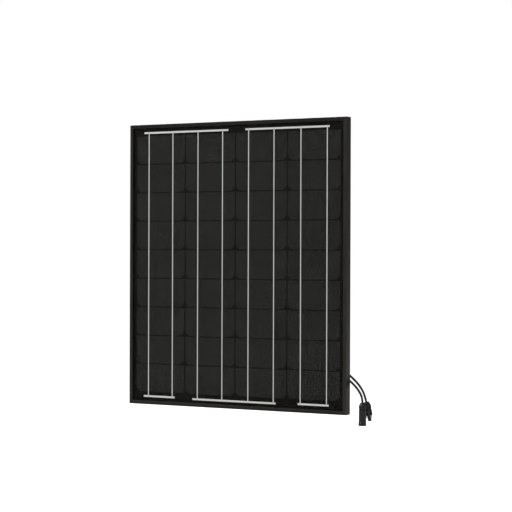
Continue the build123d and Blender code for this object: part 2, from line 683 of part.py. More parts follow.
def cut_grip_flats(solid, start, end):
    """Two shallow flats to hold a housing by."""
    for side in (-1, 1):
        middle = (0, side * (BODY_DIAMETER / 2 - GRIP_FLAT_DEPTH + 1.5), (start + end) / 2)
        solid -= Pos(*middle) * Box(GRIP_FLAT_WIDTH, 3.0, end - start)
    return solid


def socket_body():
    """The housing with the wide mouth and the two latch windows."""
    body, ring, mouth = BODY_DIAMETER / 2, SOCKET_RING_DIAMETER / 2, SOCKET_MOUTH_DIAMETER / 2
    ring_start = SOCKET_LENGTH - SOCKET_RING_LENGTH
    solid = lathe(
        threaded_tail()
        + [
            (body, ring_start - 1.5),
            (ring, ring_start),
            (ring, SOCKET_LENGTH - 1.0),
            (ring - 1.0, SOCKET_LENGTH),
            (mouth, SOCKET_LENGTH),
            (mouth, SOCKET_LENGTH - SOCKET_MOUTH_DEPTH),
        ]
        + contact_bore(SOCKET_LENGTH - SOCKET_MOUTH_DEPTH)
    )
    window_middle = SOCKET_LENGTH - LATCH_WINDOW_DEPTH - LATCH_WINDOW_HEIGHT / 2
    window = Box(2 * (ring - mouth), LATCH_WINDOW_WIDTH, LATCH_WINDOW_HEIGHT)
    for side in (-1, 1):
        solid -= Pos(side * (mouth + ring) / 2, 0, window_middle) * window
    return cut_grip_flats(solid, NUT_LENGTH + 6, ring_start - 8)


def plug_body():
    """The housing with the thin nose and the two spring latches."""
    body, nose = BODY_DIAMETER / 2, NOSE_DIAMETER / 2
    solid = lathe(
        threaded_tail()
        + [
            (body, PLUG_SHOULDER - 1),
            (body - 1, PLUG_SHOULDER),
            (nose, PLUG_SHOULDER),
            (nose, PLUG_LENGTH - 0.8),
            (nose - 0.8, PLUG_LENGTH),
        ]
        + contact_bore(PLUG_LENGTH)
    )
    for side in (-1, 1):
        arm = Polyline(
            (side * LATCH_INNER, 0, PLUG_SHOULDER - 2),
            (side * LATCH_OUTER, 0, PLUG_SHOULDER - 2),
            (side * LATCH_OUTER, 0, LATCH_TIP - 4.4),
            (side * LATCH_HOOK, 0, LATCH_TIP - 4.0),
            (side * (LATCH_OUTER - 0.6), 0, LATCH_TIP),
            (side * LATCH_INNER, 0, LATCH_TIP),
            close=True,
        )
        solid += Pos(0, LATCH_WIDTH / 2, 0) * extrude(make_face(arm), LATCH_WIDTH, dir=(0, -1, 0))
    return cut_grip_flats(solid, NUT_LENGTH + 4, PLUG_SHOULDER - 4)


def plug_o_ring():
    """The ring round the root of the nose that keeps water out of a joined pair."""
    nose, outer = NOSE_DIAMETER / 2, O_RING_DIAMETER / 2
    end = PLUG_SHOULDER + O_RING_LENGTH
    ring = lathe([(nose, PLUG_SHOULDER), (outer, PLUG_SHOULDER), (outer, end), (nose, end)])
    rims = ring.edges().filter_by(lambda edge: edge.bounding_box().size.X > O_RING_DIAMETER - 1)
    return fillet(rims, 0.6)


def contact_shank(end):
    """A crimped contact's barrel, against the lead's end, and its shank."""
    start = LEAD_IN_CONNECTOR + CRIMP_LENGTH
    barrel = Pos(0, 0, LEAD_IN_CONNECTOR) * extrude(Circle(CRIMP_DIAMETER / 2), CRIMP_LENGTH)
    return barrel + Pos(0, 0, start) * extrude(Circle(CONTACT_DIAMETER / 2), end - start)


def sleeve_contact():
    """The plug's contact: a sleeve that stops just inside the nose."""
    tip = PLUG_LENGTH - 3
    bore = extrude(Circle(SLEEVE_BORE / 2), SLEEVE_DEPTH)
    return contact_shank(tip) - Pos(0, 0, tip - SLEEVE_DEPTH) * bore


def pin_contact():
    """The socket's contact: a pin that stands in the open mouth."""
    shank_end = SOCKET_LENGTH - SOCKET_MOUTH_DEPTH + 2
    tip = SOCKET_LENGTH - 8
    pin = Pos(0, 0, shank_end) * extrude(Circle(PIN_DIAMETER / 2), tip - shank_end)
    return contact_shank(shank_end) + fillet(pin.edges().sort_by(Axis.Z)[-1], 0.6)


def make_connectors():
    """Each connector in line with its lead's last run, whose end it holds."""
    latch_side = Vector(0.88, 0.47, 0)
    halves = {
        "plug": (POSITIVE_ROUTE, plug_body(), sleeve_contact()),
        "socket": (NEGATIVE_ROUTE, socket_body(), pin_contact()),
    }
    for name, (route, body, metal) in halves.items():
        before, end = (Vector(*point) for point in route[-2:])
        axis = (end - before).normalized()
        sideways = (latch_side - axis * latch_side.dot(axis)).normalized()
        place = Plane(origin=end - axis * LEAD_IN_CONNECTOR, x_dir=sideways, z_dir=axis)
        parts[f"{name}_body"] = place * body
        parts[f"{name}_contact"] = place * metal
        parts[f"{name}_nut"] = place * connector_nut()
        parts[f"{name}_seal"] = place * connector_seal()
        if name == "plug":
            parts["plug_o_ring"] = place * plug_o_ring()


def make_label():
    low, high = LABEL_CORNERS
    label = block((low[0], high[0]), (SHEET_BACK_Y, SHEET_BACK_Y + LABEL_THICKNESS), (low[1], high[1]))
    parts["rating_label"] = fillet(label.edges().filter_by(Axis.Y), LABEL_ROUND)


make_frame()
make_corner_keys()
make_laminate()
make_box_base()
make_box_lid()
make_box_seals()
make_terminals()
make_diodes()
make_glands()
make_lead("lead_positive", POSITIVE_ROUTE)
make_lead("lead_negative", NEGATIVE_ROUTE)
make_connectors()
make_label()

os.makedirs("parts", exist_ok=True)
for node, shape in parts.items():
    export_step(shape, f"parts/{node}.step")
print(len(parts), "nodes")
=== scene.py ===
import math

import bmesh
import bpy
from mathutils import Matrix, Vector, noise


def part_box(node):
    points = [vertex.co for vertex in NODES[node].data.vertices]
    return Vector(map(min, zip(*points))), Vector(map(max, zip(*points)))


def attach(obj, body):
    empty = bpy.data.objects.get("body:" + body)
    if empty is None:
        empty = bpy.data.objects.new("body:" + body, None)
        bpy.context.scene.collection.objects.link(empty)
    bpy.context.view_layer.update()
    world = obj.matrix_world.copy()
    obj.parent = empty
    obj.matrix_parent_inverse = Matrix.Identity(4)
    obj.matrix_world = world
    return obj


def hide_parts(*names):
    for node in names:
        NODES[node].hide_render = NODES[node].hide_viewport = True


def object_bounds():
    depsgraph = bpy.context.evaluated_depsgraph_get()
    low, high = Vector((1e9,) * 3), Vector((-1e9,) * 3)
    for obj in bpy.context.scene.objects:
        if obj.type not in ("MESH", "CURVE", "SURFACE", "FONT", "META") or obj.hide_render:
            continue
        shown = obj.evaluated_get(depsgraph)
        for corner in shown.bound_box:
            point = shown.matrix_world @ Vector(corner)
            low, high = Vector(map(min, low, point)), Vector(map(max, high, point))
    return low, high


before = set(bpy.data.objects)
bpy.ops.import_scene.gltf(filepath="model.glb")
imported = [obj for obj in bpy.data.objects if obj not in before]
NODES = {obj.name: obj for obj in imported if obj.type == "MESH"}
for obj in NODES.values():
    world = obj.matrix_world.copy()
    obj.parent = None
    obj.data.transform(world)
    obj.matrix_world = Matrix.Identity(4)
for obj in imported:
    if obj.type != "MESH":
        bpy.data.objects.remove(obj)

# A framed solar panel: +X is right seen from the front, the glass faces -Y, +Z is up. Metres.

CAD_BOX = [list(corner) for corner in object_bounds()]
MM = 0.001


# ---- camera ----------------------------------------------------------------------------------
CAMERA_PLACE = (2.0840, -3.7832, 0.0323)
CAMERA_AZIMUTH = 28.222
CAMERA_PITCH = -0.099
CAMERA_ROLL = 0.186
CAMERA_LENS = 111.56


def make_camera():
    data = bpy.data.cameras.new("camera")
    data.lens = CAMERA_LENS
    data.sensor_width = 36.0
    camera = bpy.data.objects.new("camera", data)
    bpy.context.scene.collection.objects.link(camera)
    azimuth, pitch, roll = (math.radians(a) for a in (CAMERA_AZIMUTH, CAMERA_PITCH, CAMERA_ROLL))
    turned = Matrix.Rotation(azimuth, 4, "Z") @ Matrix.Rotation(math.pi / 2 + pitch, 4, "X")
    camera.matrix_world = Matrix.Translation(CAMERA_PLACE) @ turned @ Matrix.Rotation(roll, 4, "Z")
    bpy.context.scene.camera = camera


make_camera()


# ---- node trees ------------------------------------------------------------------------------
def rgba(value):
    """Gives a plain colour its opacity. A socket or a number stays as it is."""
    return (*value, 1.0) if isinstance(value, tuple) and len(value) == 3 else value


def scaled(colour, by):
    return tuple(channel * by for channel in colour)


class Graph:
    """A short way to write a material's node tree."""

    def __init__(self, name):
        self.material = bpy.data.materials.new(name)
        self.material.use_nodes = True
        self.tree = self.material.node_tree
        self.tree.nodes.clear()
        self.output = self.tree.nodes.new("ShaderNodeOutputMaterial")
        self.place = self.add("ShaderNodeTexCoord").outputs["Object"]

    def add(self, kind, inputs=None, **settings):
        node = self.tree.nodes.new(kind)
        for key, value in settings.items():
            setattr(node, key, value)
        for key, value in (inputs or {}).items():
            self.feed(node.inputs[key], value)
        return node

    def feed(self, socket, value):
        if isinstance(value, bpy.types.NodeSocket):
            self.tree.links.new(value, socket)
        else:
            socket.default_value = value

    def maths(self, operation, *values, clamp=False):
        node = self.add("ShaderNodeMath", operation=operation, use_clamp=clamp)
        for index, value in enumerate(values):
            self.feed(node.inputs[index], value)
        return node.outputs[0]

    def stretched(self, scale):
        """Object coordinates, stretched by a scale on each axis."""
        return self.add("ShaderNodeMapping", {"Vector": self.place, "Scale": scale}).outputs[0]

    def noise(self, scale, detail=3.0, roughness=0.5, stretch=(1, 1, 1)):
        """Noise of about 1 / scale metres a lump, from 0 to 1."""
        place = self.stretched(stretch)
        inputs = {"Vector": place, "Scale": scale, "Detail": detail, "Roughness": roughness}
        return self.add("ShaderNodeTexNoise", inputs).outputs[0]

    def span(self, value, low, high, from_low=0.3, from_high=0.7):
        """Maps a value's range, by default that of noise, onto low to high."""
        inputs = {
            "Value": value,
            "From Min": from_low,
            "From Max": from_high,
            "To Min": low,
            "To Max": high,
        }
        return self.add("ShaderNodeMapRange", inputs).outputs[0]

    def mix(self, factor, first, second):
        """Mixes two colours, each a socket or three numbers."""
        node = self.add("ShaderNodeMix", data_type="RGBA")
        inputs, outputs = node.inputs, node.outputs
        for socket, value in ((inputs[0], factor), (inputs[6], first), (inputs[7], second)):
            self.feed(socket, rgba(value))
        return outputs[2]

    def bump(self, height, distance, normal=None):
        """Relief of a height in metres, on top of another relief if there is one."""
        inputs = {"Height": height, "Distance": distance, "Strength": 1.0}
        if normal is not None:
            inputs["Normal"] = normal
        return self.add("ShaderNodeBump", inputs).outputs[0]

    def finish(self, shader):
        """Makes a shader node the material's surface."""
        self.tree.links.new(shader.outputs[0], self.output.inputs["Surface"])
        return self.material

    def surface(self, **inputs):
        """A principled shader; an input's name has underscores for its spaces."""
        named = {key.replace("_", " "): rgba(value) for key, value in inputs.items()}
        return self.finish(self.add("ShaderNodeBsdfPrincipled", named))


# ---- materials -------------------------------------------------------------------------------
ANODISED_BLACK = (0.037, 0.0348, 0.0298)
# The frame's outer edges are lightened towards this colour: partly rubbed wear, partly a painted
# highlight on the rounded edges.
RUBBED_EDGE_AND_HIGHLIGHT = (0.12, 0.118, 0.112)
SHEET_BLACK = (0.0125, 0.0125, 0.0128)
FILM_BLACK = (0.0088, 0.0083, 0.0073)
SILICONE_BLACK = (0.014, 0.014, 0.014)
TINNED_COPPER = (0.90, 0.89, 0.87)
FINGER_SILVER = (0.11, 0.11, 0.105)

# The gloss of what lies under the glass, and of the glass: its mirror image seen straight on.
UNDER_GLASS = 0.04
GLASS_STRAIGHT_ON = 0.003
GLASS_ROUGHNESS = 0.3

# The cells and what is printed on them.
ROWS = 9
ROW_GAP = 1.5 * MM
CELL_CORNER = 11.5 * MM
BARE_EDGE = 1.1 * MM
FINGER_PITCH = 1.95 * MM
FINGER_WIDTH = 0.11 * MM
DIAGONAL = 0.707
RIBBON_OFFSET = 38.7 * MM
RIBBON_WIDTH = 2.5 * MM


def outer_edges(g):
    """1 on the frame's long outer edges and upright corners, 0 elsewhere."""
    low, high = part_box("frame_side_left")
    x, y, z = g.add("ShaderNodeSeparateXYZ", {0: g.place}).outputs
    near, touching = 0.7 * MM, 0.25 * MM

    def closeness(value, limit):
        return g.span(g.maths("SUBTRACT", limit, value), 1.0, 0.0, touching, near)

    side = closeness(g.maths("ABSOLUTE", x), -low.x)
    end = closeness(g.maths("ABSOLUTE", z), high.z)
    half_depth = (high.y - low.y) / 2
    face = closeness(g.maths("ABSOLUTE", g.maths("ADD", y, half_depth)), half_depth)
    long_edges = g.maths("MINIMUM", g.maths("MAXIMUM", side, end), face)
    return g.maths("MAXIMUM", long_edges, g.maths("MINIMUM", side, end))


def anodised(name, along, colour=ANODISED_BLACK):
    """Black anodised aluminium: the extrusion's fine lines, and edges a little lighter, partly from
    rubbed wear and partly as a painted highlight.
    """
    g = Graph(name)
    stretch = tuple(0.02 if axis == along else 1.0 for axis in "XYZ")
    lines = g.noise(2600, 2.0, 0.6, stretch)
    clouds = g.noise(14, 3.0, 0.55)
    edge_breakup = g.noise(170, 4.0, 0.65)
    base = g.mix(g.span(clouds, 0, 1), scaled(colour, 0.9), scaled(colour, 1.12))
    # Outer edges lightened and broken up by noise: partly rubbed wear, partly a painted highlight.
    worn_and_highlit = g.maths("MULTIPLY", outer_edges(g), g.span(edge_breakup, 0.0, 0.55, 0.42, 0.66))
    base = g.mix(worn_and_highlit, base, RUBBED_EDGE_AND_HIGHLIGHT)
    rough = g.maths("ADD", g.span(clouds, 0.33, 0.43), g.span(lines, -0.03, 0.03))
    grain = g.bump(lines, 0.02 * MM)
    peel = g.bump(g.noise(1400, 2.0), 0.01 * MM, grain)
    return g.surface(Base_Color=base, Metallic=0.85, Roughness=rough, Normal=peel)


def mill_aluminium():
    """Mill-finished aluminium, with marks drawn along X."""
    g = Graph("mill_aluminium")
    lines = g.noise(900, 3.0, 0.6, (0.05, 1, 1))
    base = g.mix(g.span(lines, 0, 1), (0.52, 0.53, 0.54), (0.66, 0.67, 0.68))
    return g.surface(
        Base_Color=base,
        Metallic=1.0,
        Roughness=g.span(lines, 0.32, 0.5),
        Normal=g.bump(lines, 0.04 * MM),
    )


def glass():
    """Clear glass: the cells show straight through, and its front face mirrors more at a slant."""
    g = Graph("front_glass")
    relief = g.bump(g.noise(120, 2.0), 0.01 * MM)
    clear = g.add("ShaderNodeBsdfTransparent", {"Color": (0.985, 0.99, 0.985, 1.0)})
    gloss = {"Color": (1, 1, 1, 1), "Roughness": GLASS_ROUGHNESS, "Normal": relief}
    shine = g.add("ShaderNodeBsdfGlossy", gloss)
    facing = g.add("ShaderNodeLayerWeight", {"Blend": 0.5}).outputs["Facing"]
    slant = g.maths("MULTIPLY", g.maths("POWER", facing, 5.0), 1.0 - GLASS_STRAIGHT_ON)
    front = g.maths("SUBTRACT", 1.0, g.add("ShaderNodeNewGeometry").outputs["Backfacing"])
    share = g.maths("MULTIPLY", g.maths("ADD", slant, GLASS_STRAIGHT_ON), front, clamp=True)
    mixed = {0: share, 1: clear.outputs[0], 2: shine.outputs[0]}
    return g.finish(g.add("ShaderNodeMixShader", mixed))


def clear_film():
    """The clear film melted onto the glass: no shine of its own, only a faint uneven tint."""
    g = Graph("clear_film")
    tint = g.mix(g.span(g.noise(25, 2.0), 0, 1), (0.992, 0.993, 0.990), (0.998, 0.998, 0.997))
    return g.finish(g.add("ShaderNodeBsdfTransparent", {"Color": tint}))


def cell_grid():
    """The cells' first corner, pitches and sizes, from the CAD strings."""
    first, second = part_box("cell_string_1"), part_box("cell_string_2")
    row = (first[1].z - first[0].z + ROW_GAP) / ROWS
    return {
        "x": first[0].x,
        "z": first[0].z,
        "column": second[0].x - first[0].x,
        "row": row,
        "width": first[1].x - first[0].x,
        "height": row - ROW_GAP,
    }


def in_cell(g, grid):
    """How far a point is from its cell's left edge, and how far above its lower edge, in metres."""
    x, _, z = g.add("ShaderNodeSeparateXYZ", {0: g.place}).outputs
    across = g.maths("WRAP", x, grid["x"] + grid["column"], grid["x"])
    up = g.maths("WRAP", z, grid["z"] + grid["row"], grid["z"])
    return g.maths("SUBTRACT", across, grid["x"]), g.maths("SUBTRACT", up, grid["z"])


def on_strings(g):
    """1 over the height of the cell ribbons, 0 above and below them."""
    low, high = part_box("cell_ribbons_1")
    height = g.add("ShaderNodeSeparateXYZ", {0: g.place}).outputs[2]
    above = g.maths("GREATER_THAN", height, low.z)
    return g.maths("MULTIPLY", above, g.maths("LESS_THAN", height, high.z))


def silicon():
    """A dark monocrystalline cell: printed fingers that stop short of its bare edge."""
    g = Graph("silicon")
    grid = cell_grid()
    across, up = in_cell(g, grid)
    from_side = g.maths("MINIMUM", across, g.maths("SUBTRACT", grid["width"], across))
    from_end = g.maths("MINIMUM", up, g.maths("SUBTRACT", grid["height"], up))
    from_corner = g.maths("SUBTRACT", g.maths("ADD", from_side, up), CELL_CORNER)
    from_corner = g.maths("MULTIPLY", from_corner, DIAGONAL)
    inward = g.maths("MINIMUM", g.maths("MINIMUM", from_side, from_end), from_corner)
    printed = g.maths("GREATER_THAN", inward, BARE_EDGE)

    island = g.add("ShaderNodeNewGeometry").outputs["Random Per Island"]
    clouds = g.noise(22, 2.0)
    base = g.mix(island, (0.0187, 0.0190, 0.0172), (0.0222, 0.0220, 0.0195))
    base = g.mix(g.span(clouds, 0, 0.35), base, (0.0245, 0.0245, 0.0223))
    coated = g.span(inward, 0.0, 1.0, BARE_EDGE * 0.6, BARE_EDGE)
    base = g.mix(coated, (0.010, 0.010, 0.0098), base)
    phase = g.maths("FRACT", g.maths("DIVIDE", up, FINGER_PITCH))
    finger = g.maths("LESS_THAN", phase, FINGER_WIDTH / FINGER_PITCH)
    finger = g.maths("MULTIPLY", finger, printed)
    colour = g.mix(finger, base, FINGER_SILVER)
    return g.surface(
        Base_Color=colour,
        Roughness=g.span(clouds, 0.5, 0.58),
        Specular_IOR_Level=UNDER_GLASS,
        Normal=g.bump(finger, 0.006 * MM),
    )


def tinned(name, along):
    """Solder-dipped copper: bright, with faint streaks along the strip."""
    g = Graph(name)
    stretch = tuple(0.04 if axis == along else 1.0 for axis in "XYZ")
    streaks = g.noise(1500, 3.0, 0.6, stretch)
    blotches = g.noise(160, 3.0)
    dull, bright = scaled(TINNED_COPPER, 0.88), scaled(TINNED_COPPER, 1.06)
    base = g.mix(g.span(streaks, 0, 1), dull, bright)
    rough = g.maths("ADD", g.span(blotches, 0.34, 0.5), g.span(streaks, -0.04, 0.04))
    relief = g.bump(blotches, 0.06 * MM, g.bump(streaks, 0.02 * MM))
    return g.surface(Base_Color=base, Metallic=0.2, Roughness=rough, Normal=relief)


def black_film():
    """The matt black film behind the cells, with a fine emboss."""
    g = Graph("black_encapsulant")
    fine = g.noise(1800, 2.0)
    broad = g.noise(9, 3.0)
    base = g.mix(g.span(broad, 0, 1), scaled(FILM_BLACK, 0.88), scaled(FILM_BLACK, 1.12))
    return g.surface(
        Base_Color=base,
        Roughness=g.span(broad, 0.45, 0.55),
        Specular_IOR_Level=UNDER_GLASS,
        Normal=g.bump(fine, 0.01 * MM),
    )


def rear_sheet():
    """The black rear sheet, where the cells and their ribbons press through a little."""
    g = Graph("rear_sheet")
    grid = cell_grid()
    across, up = in_cell(g, grid)
    width, height = grid["width"], grid["height"]
    column_gap = grid["column"] - width
    column_valley = g.span(across, 0.0, 1.0, width + column_gap, width - column_gap)
    row_valley = g.span(up, 0.0, 1.0, height + ROW_GAP, height - ROW_GAP)
    gaps = g.maths("MINIMUM", column_valley, row_valley)
    from_middle = g.maths("ABSOLUTE", g.maths("SUBTRACT", across, width / 2))
    from_ribbon = g.maths("ABSOLUTE", g.maths("SUBTRACT", from_middle, RIBBON_OFFSET))
    ridge = g.span(from_ribbon, 1.0, 0.0, 1.0 * MM, 2.4 * MM)
    ridge = g.maths("MULTIPLY", ridge, on_strings(g))
    fine = g.noise(1900, 2.0)
    broad = g.noise(6, 3.0)
    base = g.mix(g.span(broad, 0, 1), scaled(SHEET_BLACK, 0.85), scaled(SHEET_BLACK, 1.15))
    pressed = g.bump(gaps, 0.25 * MM, g.bump(broad, 1.2 * MM))
    pressed = g.bump(ridge, 0.14 * MM, pressed)
    return g.surface(
        Base_Color=base,
        Roughness=g.span(broad, 0.46, 0.58),
        Normal=g.bump(fine, 0.03 * MM, pressed),
    )


def moulded(name, colour, roughness, grain_scale=2600, depth=0.04 * MM):
    """Spark-textured moulded plastic."""
    g = Graph(name)
    grain = g.noise(grain_scale, 3.0, 0.6)
    clouds = g.noise(60, 3.0)
    base = g.mix(g.span(clouds, 0, 1), scaled(colour, 0.85), scaled(colour, 1.2))
    rough = g.span(clouds, roughness - 0.06, roughness + 0.06)
    return g.surface(Base_Color=base, Roughness=rough, Normal=g.bump(grain, depth))


def sheath():
    """The leads' cross-linked outer sheath: satin black with a faint drawn grain."""
    g = Graph("sheath")
    grain = g.noise(1600, 3.0, 0.6)
    scuffs = g.noise(90, 4.0, 0.7)
    base = g.mix(g.span(scuffs, 0, 1), (0.0095, 0.0095, 0.0098), (0.016, 0.016, 0.0162))
    rough = g.span(scuffs, 0.34, 0.5)
    return g.surface(Base_Color=base, Roughness=rough, Normal=g.bump(grain, 0.03 * MM))


def silicone():
    """Cured silicone, with a skin that shines a little unevenly."""
    g = Graph("silicone")
    lumps = g.noise(300, 3.0)
    dark, light = scaled(SILICONE_BLACK, 0.8), scaled(SILICONE_BLACK, 1.25)
    return g.surface(
        Base_Color=g.mix(g.span(lumps, 0, 1), dark, light),
        Roughness=g.span(lumps, 0.38, 0.6),
        Normal=g.bump(lumps, 0.1 * MM),
    )


def label_film():
    """Silver polyester film, printed with nothing but a thin grey frame."""
    g = Graph("label_film")
    low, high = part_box("rating_label")
    x, _, z = g.add("ShaderNodeSeparateXYZ", {0: g.place}).outputs
    border, half_line = 4 * MM, 0.5 * MM

    def from_edge(value, start, end):
        after, before = g.maths("SUBTRACT", value, start), g.maths("SUBTRACT", end, value)
        return g.maths("MINIMUM", after, before)

    inward = g.maths("MINIMUM", from_edge(x, low.x, high.x), from_edge(z, low.z, high.z))
    ring = g.maths("COMPARE", inward, border, half_line)
    clouds = g.noise(40, 3.0)
    base = g.mix(g.span(clouds, 0, 1), (0.50, 0.51, 0.52), (0.58, 0.59, 0.60))
    printed = g.mix(ring, base, (0.10, 0.10, 0.10))
    return g.surface(Base_Color=printed, Metallic=0.25, Roughness=g.span(clouds, 0.3, 0.42))


def metal(name, dark, light, smooth, rough):
    """A small bare metal part, between two colours and two roughnesses."""
    g = Graph(name)
    marks = g.noise(700, 3.0, 0.6)
    return g.surface(
        Base_Color=g.mix(g.span(marks, 0, 1), dark, light),
        Metallic=1.0,
        Roughness=g.span(marks, smooth, rough),
        Normal=g.bump(marks, 0.03 * MM),
    )


# The bottom bar takes a darker copy of the anodised colour, and the top bar a darker one still:
# painted shade for how light falls on the bars that run across.
FRAME_UPRIGHT = anodised("anodised_upright", "Z")
FRAME_LEVEL_PAINTED_SHADE = anodised("anodised_level_painted_shade", "X", scaled(ANODISED_BLACK, 0.76))
FRAME_TOP_PAINTED_SHADE = anodised("anodised_top_painted_shade", "X", scaled(ANODISED_BLACK, 0.6))
KEY_METAL = mill_aluminium()
GLASS = glass()
CLEAR_FILM = clear_film()
CELL = silicon()
CELL_RIBBON = tinned("tinned_ribbon", "Z")
BUS_RIBBON = tinned("tinned_bus", "X")
SOLDER = metal("solder", (0.62, 0.62, 0.61), (0.76, 0.76, 0.75), 0.25, 0.42)
BLACK_FILM = black_film()
REAR_SHEET = rear_sheet()
BOX_PLASTIC = moulded("box_plastic", (0.017, 0.017, 0.018), 0.46)
GLAND_PLASTIC = moulded("gland_plastic", (0.014, 0.014, 0.015), 0.4)
CONNECTOR_PLASTIC = moulded("connector_plastic", (0.0065, 0.0065, 0.0068), 0.24, 3200, 0.02 * MM)
SHEATH = sheath()
RUBBER = moulded("seal_rubber", (0.02, 0.02, 0.02), 0.62, 1500)
SILICONE = silicone()
LABEL = label_film()
COPPER = metal("tinned_copper", (0.60, 0.46, 0.34), (0.74, 0.60, 0.46), 0.28, 0.42)
CONTACT = metal("contact_metal", (0.66, 0.63, 0.58), (0.78, 0.75, 0.70), 0.2, 0.34)
BAND_PAINT = moulded("band_paint", (0.55, 0.56, 0.57), 0.4)
EPOXY = moulded("diode_epoxy", (0.022, 0.022, 0.022), 0.42)

NODE_MATERIALS = {
    "frame_side_left": FRAME_UPRIGHT,
    "frame_side_right": FRAME_UPRIGHT,
    "frame_side_top": FRAME_TOP_PAINTED_SHADE,
    "frame_side_bottom": FRAME_LEVEL_PAINTED_SHADE,
    "corner_key": KEY_METAL,
    "edge_seal": SILICONE,
    "front_glass": GLASS,
    "front_encapsulant": CLEAR_FILM,
    "rear_encapsulant": BLACK_FILM,
    "backsheet": REAR_SHEET,
    "cell_string": CELL,
    "cell_ribbons": CELL_RIBBON,
    "bus_ribbon": BUS_RIBBON,
    "leadout": BUS_RIBBON,
    "rating_label": LABEL,
    "junction_box_adhesive": SILICONE,
    "junction_box_gasket": RUBBER,
    "junction_box": BOX_PLASTIC,
    "terminal": COPPER,
    "bypass_diode": EPOXY,
    "gland_seal": RUBBER,
    "gland_nut": GLAND_PLASTIC,
    "plug_seal": RUBBER,
    "plug_o_ring": RUBBER,
    "socket_seal": RUBBER,
    "plug_contact": CONTACT,
    "socket_contact": CONTACT,
    "plug": CONNECTOR_PLASTIC,
    "socket": CONNECTOR_PLASTIC,
    "lead": SHEATH,
}


def dress_cad_nodes():
    """Gives each CAD node the material with the longest name that it starts with."""
    for name, node in NODES.items():
        stem = max((key for key in NODE_MATERIALS if name.startswith(key)), key=len)
        node.data.materials.clear()
        node.data.materials.append(NODE_MATERIALS[stem])


dress_cad_nodes()


# ---- building pieces -------------------------------------------------------------------------
def as_piece(name, bm, material, body, smooth=False):
    """Turns a bmesh into an object that rides on a body and takes the given material."""
    bmesh.ops.recalc_face_normals(bm, faces=bm.faces)
    mesh = bpy.data.meshes.new(name)
    bm.to_mesh(mesh)
    bm.free()
    mesh.materials.append(material)
    for face in mesh.polygons:
        face.use_smooth = smooth
    piece = bpy.data.objects.new(name, mesh)
    bpy.context.scene.collection.objects.link(piece)
    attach(piece, body)
    return piece


def bevelled_box(bm, low, high, width):
    """Adds a box between two corners, with its edges rounded."""
    size = Vector(high) - Vector(low)
    middle = (Vector(high) + Vector(low)) / 2
    place = Matrix.Translation(middle) @ Matrix.Diagonal((*size, 1))
    made = bmesh.ops.create_cube(bm, size=1.0, matrix=place)
    edges = list({edge for vert in made["verts"] for edge in vert.link_edges})
    bmesh.ops.bevel(bm, geom=edges, offset=width, segments=2, profile=0.5, affect="EDGES")


def mound(bm, centre, half, swell=0.35):
    """Adds a soft mound about a centre: square in outline at a low swell, round at 1."""
    made = bmesh.ops.create_icosphere(bm, subdivisions=3, radius=1.0)
    for vert in made["verts"]:
        x, y, z = vert.co
        soft = [math.copysign(abs(v) ** swell, v) for v in (x, z)]
        length = max(1.0, math.hypot(*soft))
        vert.co = (
            centre[0] + soft[0] / length * half[0],
            centre[1] + y * half[1],
            centre[2] + soft[1] / length * half[2],
        )


def bridge(bm, rings):
    """Joins closed rings of points into a skin, the last one to the first."""
    count = len(rings[0])
    for ring, after in zip(rings, rings[1:] + rings[:1]):
        for index in range(count):
            other = (index + 1) % count
            bm.faces.new((ring[index], ring[other], after[other], after[index]))


# ---- laminate --------------------------------------------------------------------------------
def make_front_film():
    """The clear film between glass and ribbons, clear of both so that no two faces coincide."""
    gap, rounding = 0.02 * MM, 0.05 * MM
    low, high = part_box("front_encapsulant")
    bm = bmesh.new()
    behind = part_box("cell_ribbons_1")[0].y - gap
    bevelled_box(bm, (low.x, low.y + gap, low.z), (high.x, behind, high.z), rounding)
    film_piece = as_piece("front_film", bm, CLEAR_FILM, "panel")
    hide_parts("front_encapsulant")


def make_solder_joints():
    """The flat solder joint where each cell ribbon meets its bus ribbons."""
    joint = (1.5 * MM, 0.12 * MM, 2.2 * MM)
    buses = [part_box(name) for name in NODES if name.startswith("bus_ribbon")]
    bm = bmesh.new()
    for string in range(1, 5):
        low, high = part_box(f"cell_ribbons_{string}")
        for x in (low.x + RIBBON_WIDTH / 2, high.x - RIBBON_WIDTH / 2):
            for start, end in buses:
                if start.x - RIBBON_WIDTH < x < end.x + RIBBON_WIDTH:
                    middle = Vector((x, low.y, (start.z + end.z) / 2))
                    mound(bm, middle, joint)
    as_piece("solder_joints", bm, SOLDER, "panel", smooth=True)


make_front_film()
make_solder_joints()


# ---- seals at the back -----------------------------------------------------------------------
# How far the frame's inner wall lies inside its outer face, and half the size of the box's foot.
FRAME_WEB = 9.7 * MM
BOX_FOOT = (48 * MM, 41 * MM)
CORNER_STEPS = 6


def rounded_outline(half_x, half_z, radius, middle, step_along):
    """Points (x, z) round a rounded rectangle, with the outward direction at each."""
    points = []
    corners = ((1, 1, 0), (-1, 1, 90), (-1, -1, 180), (1, -1, 270))
    for sx, sz, start in corners:
        centre = Vector((middle[0] + sx * (half_x - radius), middle[1] + sz * (half_z - radius)))
        for step in range(CORNER_STEPS + 1):
            angle = math.radians(start + 90 * step / CORNER_STEPS)
            outward = Vector((math.cos(angle), math.sin(angle)))
            points.append((centre + outward * radius, outward))
    filled = []
    for index, (point, outward) in enumerate(points):
        after, after_outward = points[(index + 1) % len(points)]
        count = max(1, int((after - point).length / step_along))
        for step in range(count):
            share = step / count
            turned = outward.lerp(after_outward, share).normalized()
            filled.append((point.lerp(after, share), turned))
    return filled


